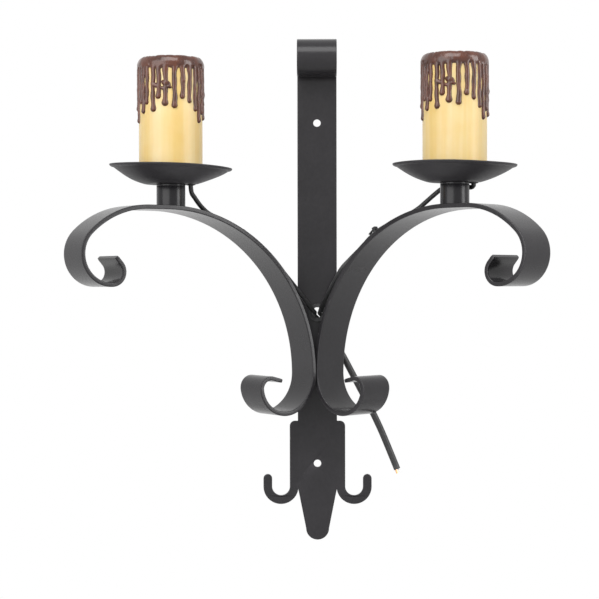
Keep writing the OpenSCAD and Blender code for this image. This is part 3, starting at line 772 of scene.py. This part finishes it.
def drip_coat(side):
    """The coat round a sleeve's top: up its outside, over the end and down its inside."""
    columns = 540
    axis = lamp_xyz(side, 0.0)
    verts = []

    def row(make):
        """One ring of points; make gives radius and height at a turn in degrees."""
        for k in range(columns):
            turned = 360.0 * k / columns
            r, z = make(turned)
            verts.append(axis + polar(r, math.radians(turned + FACE[side]), z))

    def wobble(turned, depth):
        a = math.radians(turned)
        slow = noise.noise(polar(2.6, a, depth / 14.0 + side))
        quick = noise.noise(polar(8.3, a, depth / 3.4 + side))
        return 0.55 * slow + 0.6 * quick

    def outside(t, depth):
        return SLEEVE_R + coat_height(t, depth, wobble(t, depth))

    depth = COAT_L
    while depth > SHOULDER_DEPTH:
        row(lambda t, d=depth: (outside(t, d), SLEEVE_TOP - d))
        depth -= 0.5
    # over the rounded shoulder and across the sleeve's end
    top = SLEEVE_TOP + DRIP_T
    for i in range(1, 13):
        b = math.radians(7.5 * i)

        def shoulder(t, b=b):
            lift = 1.3 * min(0.0, wobble(t, -3.0) - 0.12) * math.sin(b)
            z0 = SLEEVE_TOP - SHOULDER_DEPTH
            high = top - COAT_ROUND + COAT_ROUND * math.sin(b) + lift
            z = z0 + (high - z0) * math.sin(b) ** 0.9
            inward = COAT_ROUND * (1 - math.cos(b))
            return outside(t, SHOULDER_DEPTH) - inward, min(z, top - SKIN)
        row(shoulder)
    for r, z in (
        (SLEEVE_BORE + 0.1, top - 0.5), (SLEEVE_BORE, top - 1.1), (SLEEVE_BORE, SLEEVE_TOP - 0.2),
        (SLEEVE_R - 2.5, SLEEVE_TOP - 0.25), (SLEEVE_R - 0.5, SLEEVE_TOP - 4.0),
        (SLEEVE_R - 0.5, SLEEVE_TOP - COAT_L),
    ):
        row(lambda t, r=r, z=z: (r, z))
    rows = len(verts) // columns
    faces = strip_faces(rows, columns)
    last = (rows - 1) * columns
    for k in range(columns):
        n = (k + 1) % columns
        faces.append((last + k, last + n, n, k))
    return smooth_mesh(f"wax_drips_{NAMES[side]}", verts, faces, 75.0)


for side in (LEFT, RIGHT):
    name = NAMES[side]
    sleeve = lathe(f"candle_{name}", sleeve_profile(), side, 180, sharp=40.0)
    place(sleeve, f"sleeve_{name}", "cream_resin", f"candle_sleeve_{name}")
    place(drip_coat(side), f"sleeve_{name}", "brown_resin", f"drip_coat_{name}")


# ---- materials ----
def feed(tree, made, inputs):
    """Sets a node's inputs: a socket is linked, anything else is the input's value."""
    for key, value in inputs.items():
        if isinstance(value, bpy.types.NodeSocket):
            tree.links.new(value, made.inputs[key])
        else:
            made.inputs[key].default_value = value


def node(tree, kind, inputs, **settings):
    made = tree.nodes.new(kind)
    for key, value in settings.items():
        setattr(made, key, value)
    feed(tree, made, inputs)
    return made


def new_material(name):
    mat = bpy.data.materials.new(name)
    mat.use_nodes = True
    tree = mat.node_tree
    tree.nodes.clear()
    bsdf = node(tree, "ShaderNodeBsdfPrincipled", {})
    node(tree, "ShaderNodeOutputMaterial", {"Surface": bsdf.outputs[0]})
    return mat, tree, bsdf


def coords(tree, scale=(1, 1, 1)):
    """Object coordinates, moved off the noise lattice so that flat faces show no dots."""
    tex = node(tree, "ShaderNodeTexCoord", {})
    return node(tree, "ShaderNodeMapping", {
        "Vector": tex.outputs["Object"], "Scale": scale, "Location": (0.00137, 0.00291, 0.00053),
    }).outputs[0]


def noise_at(tree, vector, scale, detail=4.0, rough=0.55, distortion=0.0):
    return node(tree, "ShaderNodeTexNoise", {
        "Vector": vector, "Scale": scale, "Detail": detail, "Roughness": rough,
        "Distortion": distortion,
    }).outputs["Fac"]


def ramp(tree, fac, *stops):
    """Two stops, each a position and a colour."""
    made = node(tree, "ShaderNodeValToRGB", {"Fac": fac})
    for element, (position, colour) in zip(made.color_ramp.elements, stops):
        element.position = position
        element.color = (*colour, 1.0)
    return made.outputs["Color"]


def grey(v):
    return (v, v, v)


def remap(tree, value, low, high, to_low, to_high):
    return node(tree, "ShaderNodeMapRange", {
        "Value": value, "From Min": low, "From Max": high, "To Min": to_low, "To Max": to_high,
    }).outputs[0]


def maths(tree, operation, a, b):
    return node(tree, "ShaderNodeMath", {0: a, 1: b}, operation=operation).outputs[0]


def mix(tree, fac, a, b, blend="MIX"):
    """Mixes two colours, each a socket or a tuple."""
    a, b = ((*c, 1.0) if isinstance(c, tuple) else c for c in (a, b))
    inputs = {0: fac, 6: a, 7: b}
    return node(tree, "ShaderNodeMix", inputs, data_type="RGBA", blend_type=blend).outputs[2]


def edges(tree, low, high):
    geo = node(tree, "ShaderNodeNewGeometry", {})
    return remap(tree, geo.outputs["Pointiness"], low, high, 0.0, 1.0)


def bump(tree, bsdf, height, strength, distance, under=None):
    """Bump into the shader's normal, over an earlier bump if one is given."""
    inputs = {"Height": height, "Strength": strength, "Distance": distance}
    if under is not None:
        inputs["Normal"] = under
    made = node(tree, "ShaderNodeBump", inputs)
    tree.links.new(made.outputs[0], bsdf.inputs["Normal"])
    return made.outputs[0]


def iron_material(name, dark, light, rough, edge_wear_and_highlight, bump_strength):
    """Black paint over wrought bar: faint mottling, fine orange peel, edges lightened for rubbed
    wear and as a painted edge highlight.
    """
    mat, tree, bsdf = new_material(name)
    where = coords(tree)
    broad = noise_at(tree, where, 26.0, 5.0, 0.6)
    fine = noise_at(tree, where, 420.0, 3.0, 0.6)
    grain = noise_at(tree, where, 1500.0, 2.0, 0.5)
    patches = noise_at(tree, where, 95.0, 2.0, 0.5)
    colour = ramp(tree, broad, (0.3, dark), (0.72, light))
    specks = ramp(tree, fine, (0.35, grey(0.93)), (0.62, grey(1.0)))
    colour = mix(tree, 1.0, colour, specks, "MULTIPLY")
    edge = edges(tree, 0.515, 0.56)
    # painted edge highlight with rubbed wear: convex edges are lightened towards 1.9 times the
    # lighter colour
    rubbed_and_highlit = maths(tree, "MULTIPLY", edge, remap(tree, broad, 0.42, 0.62, 0.25, edge_wear_and_highlight))
    colour = mix(tree, rubbed_and_highlit, colour, tuple(1.9 * c for c in light))
    chipped = maths(tree, "MULTIPLY", edge, remap(tree, patches, 0.69, 0.71, 0.0, 1.0))
    colour = mix(tree, chipped, colour, (0.22, 0.215, 0.205))
    feed(tree, bsdf, {
        "Base Color": colour,
        "Roughness": remap(tree, fine, 0.3, 0.7, *rough),
        "Specular IOR Level": 0.3,
    })
    first = bump(tree, bsdf, broad, bump_strength, 0.0016)
    bump(tree, bsdf, grain, bump_strength * 0.3, 0.00002, first)
    return mat


def resin_cream():
    """Cast wax-coloured resin: soft streaks down the candle, and a random cloudy tone between two
    yellowish creams.
    """
    mat, tree, bsdf = new_material("cream_resin")
    streak = noise_at(tree, coords(tree, (1, 1, 0.05)), 120.0, 2.0, 0.5, 0.2)
    cloud = noise_at(tree, coords(tree), 32.0, 4.0, 0.5)
    pits = noise_at(tree, coords(tree), 700.0, 2.0, 0.5)
    colour = ramp(tree, cloud, (0.3, (0.755, 0.560, 0.245)), (0.7, (0.80, 0.635, 0.335)))
    tint = ramp(tree, streak, (0.36, (0.95, 0.88, 0.66)), (0.64, grey(1.0)))
    feed(tree, bsdf, {
        "Base Color": mix(tree, 1.0, colour, tint, "MULTIPLY"),
        "Roughness": remap(tree, streak, 0.3, 0.7, 0.36, 0.48),
        "Subsurface Weight": 0.12,
        "Subsurface Radius": (1.0, 0.6, 0.25),
        "Subsurface Scale": 0.004,
        "Coat Weight": 0.12,
        "Coat Roughness": 0.25,
    })
    first = bump(tree, bsdf, streak, 0.35, 0.0008)
    bump(tree, bsdf, pits, 0.12, 0.0001, first)
    return mat


def resin_brown():
    """Glossy poured brown: painted highlight on the raised drips and painted shade in the folds,
    from the surface's curvature.
    """
    mat, tree, bsdf = new_material("brown_resin")
    cloud = noise_at(tree, coords(tree), 90.0, 4.0, 0.55, 0.6)
    smear = noise_at(tree, coords(tree, (1, 1, 0.3)), 260.0, 3.0, 0.5)
    colour = ramp(tree, cloud, (0.3, (0.050, 0.0142, 0.0070)), (0.68, (0.128, 0.040, 0.0185)))
    # painted shade and highlight: darker in concave folds, lighter on convex drips
    painted_shade_and_highlight = mix(tree, edges(tree, 0.47, 0.545), (0.55, 0.50, 0.50), (1.25, 1.15, 1.10))
    feed(tree, bsdf, {
        "Base Color": mix(tree, 1.0, colour, painted_shade_and_highlight, "MULTIPLY"),
        "Roughness": remap(tree, smear, 0.3, 0.7, 0.17, 0.30),
        "Coat Weight": 0.10,
        "Coat Roughness": 0.15,
    })
    bump(tree, bsdf, smear, 0.4, 0.0006)
    return mat


def moulded(name, dark, light, rough, scale, bump_strength=0.2, metallic=0.0):
    """Rubber, plastic or metal: mottled colour, mottled roughness, fine bump, lighter edges."""
    mat, tree, bsdf = new_material(name)
    where = coords(tree)
    broad = noise_at(tree, where, scale / 6, 4.0, 0.6)
    fine = noise_at(tree, where, scale, 3.0, 0.55)
    colour = ramp(tree, broad, (0.3, dark), (0.7, light))
    # convex edges get a lighter colour
    lighter_edge_colour = tuple(min(1.0, 1.8 * c) for c in light)
    feed(tree, bsdf, {
        "Base Color": mix(tree, edges(tree, 0.52, 0.58), colour, lighter_edge_colour),
        "Roughness": remap(tree, fine, 0.3, 0.7, *rough),
        "Metallic": metallic,
    })
    bump(tree, bsdf, fine, bump_strength, 0.0002)
    return mat


# name: darker colour, lighter colour, roughness range, edge wear and painted edge highlight, bump
IRONS = {
    "satin_iron": ((0.019, 0.0179, 0.0199), (0.0265, 0.0249, 0.0275), (0.19, 0.27), 1.0, 0.05),
    "gloss_iron": ((0.0122, 0.0114, 0.0133), (0.0177, 0.0165, 0.0194), (0.20, 0.28), 0.5, 0.05),
    "satin_iron_pan": ((0.026, 0.0245, 0.027), (0.036, 0.034, 0.0375), (0.44, 0.54), 1.0, 0.10),
}
# name: darker colour, lighter colour, roughness range, noise scale, bump, metallic
MOULDED = {
    "black_rubber": ((0.012, 0.012, 0.012), (0.024, 0.024, 0.025), (0.42, 0.60), 500.0),
    "black_nylon": ((0.008, 0.008, 0.009), (0.016, 0.016, 0.017), (0.45, 0.60), 400.0, 0.1),
    "zinc_steel": ((0.42, 0.43, 0.42), (0.60, 0.60, 0.57), (0.28, 0.45), 350.0, 0.1, 1.0),
    "phenolic": ((0.016, 0.012, 0.010), (0.032, 0.026, 0.022), (0.20, 0.34), 350.0, 0.08),
    "brass": ((0.48, 0.33, 0.11), (0.66, 0.48, 0.18), (0.24, 0.40), 350.0, 0.1, 1.0),
    "copper": ((0.52, 0.20, 0.09), (0.70, 0.31, 0.16), (0.28, 0.42), 900.0, 0.3, 1.0),
    "white_insulation": ((0.62, 0.66, 0.74), (0.78, 0.81, 0.88), (0.35, 0.5), 500.0, 0.1),
}
MATERIALS = {name: iron_material(name, *looks) for name, looks in IRONS.items()}
MATERIALS |= {name: moulded(name, *looks) for name, looks in MOULDED.items()}
MATERIALS |= {"cream_resin": resin_cream(), "brown_resin": resin_brown()}


def dress(obj, slot_name):
    obj.data.materials.clear()
    obj.data.materials.append(MATERIALS[slot_name])


SLOTS = {n["node"]: n["material_slot"] for n in frame["record"]["subparts"]}
for name, obj in frame["nodes"].items():
    dress(obj, SLOTS[name])
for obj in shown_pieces():
    if "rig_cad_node" not in obj:
        dress(obj, obj["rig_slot"])
# the spun pans are duller than the bars
for side in (LEFT, RIGHT):
    dress(bpy.data.objects[f"pan_{NAMES[side]}"], "satin_iron_pan")


# ---- floor, world and lamps ----
FLOOR_DROP = -460.0
FLOOR_RINGS = [120.0 * i for i in range(1, 6)]


def floor_disc():
    segments = 72
    verts = [Vector((0, 0, FLOOR_DROP))]
    for r in FLOOR_RINGS:
        verts += [polar(r, 2 * math.pi * k / segments, FLOOR_DROP) for k in range(segments)]
    faces = [(0, 1 + k, 1 + (k + 1) % segments) for k in range(segments)]
    for i in range(len(FLOOR_RINGS) - 1):
        for k in range(segments):
            a, b = 1 + i * segments + k, 1 + i * segments + (k + 1) % segments
            faces.append((a, a + segments, b + segments, b))
    return smooth_mesh("floor", verts, faces)


floor = floor_disc()
paper, tree, bsdf = new_material("floor_paper")
feed(tree, bsdf, {
    "Base Color": ramp(
        tree, noise_at(tree, coords(tree), 3.0), (0.3, grey(0.80)), (0.7, grey(0.84))
    ),
    "Roughness": 0.9,
})
floor.data.materials.append(paper)

# the background is white; the light on the object comes from behind and below, dimmer in front
WHITE = (1.0, 1.0, 1.0, 1.0)
LEAST_LIGHT = 0.17
world = bpy.data.worlds.new("studio")
scene.world = world
world.use_nodes = True
tree = world.node_tree
tree.nodes.clear()
ray = node(tree, "ShaderNodeTexCoord", {}).outputs["Generated"]
split = node(tree, "ShaderNodeSeparateXYZ", {0: ray}).outputs
behind = remap(tree, split["Y"], 0.0, 0.7, 0.1, 1.0)
dimmer = remap(tree, split["X"], 0.1, 0.9, 0.9, 0.48)
below = remap(tree, split["Z"], 0.05, -0.55, 0.0, 0.45)
level = maths(tree, "MAXIMUM", maths(tree, "MULTIPLY", behind, dimmer), below)
level = maths(tree, "MAXIMUM", level, LEAST_LIGHT)
kinds = node(tree, "ShaderNodeLightPath", {}).outputs
mirrored = maths(tree, "MAXIMUM", kinds["Is Glossy Ray"], kinds["Is Transmission Ray"])
air = node(tree, "ShaderNodeBackground", {"Color": WHITE, "Strength": level})
white = node(tree, "ShaderNodeBackground", {"Color": WHITE})
blend = node(tree, "ShaderNodeMixShader", {
    0: maths(tree, "MAXIMUM", kinds["Is Camera Ray"], mirrored),
    1: air.outputs[0],
    2: white.outputs[0],
})
node(tree, "ShaderNodeOutputWorld", {"Surface": blend.outputs[0]})

LAMP_AWAY = 2.0
# azimuth from the room side, turning right; elevation; width and height; watts
LAMPS = {
    "left_box": (-38, 14, (1.9, 2.0), 31.0),
    "right_box": (66, 18, (0.8, 1.8), 25.0),
    "top_box": (-8, 52, (1.6, 1.0), 23.0),
}
for name, (azimuth, elevation, size, watts) in LAMPS.items():
    light = bpy.data.lights.new(name, "AREA")
    light.shape = "RECTANGLE"
    light.size, light.size_y = size
    light.energy = watts
    lamp = bpy.data.objects.new(name, light)
    scene.collection.objects.link(lamp)
    a, e = math.radians(azimuth), math.radians(elevation)
    way = Vector((math.sin(a) * math.cos(e), -math.cos(a) * math.cos(e), math.sin(e)))
    lamp.location = way * LAMP_AWAY
    lamp.rotation_euler = (-way).to_track_quat("-Z", "Y").to_euler()
    lamp.visible_camera = False

scene.view_settings.view_transform = "Standard"
bpy.context.view_layer.update()
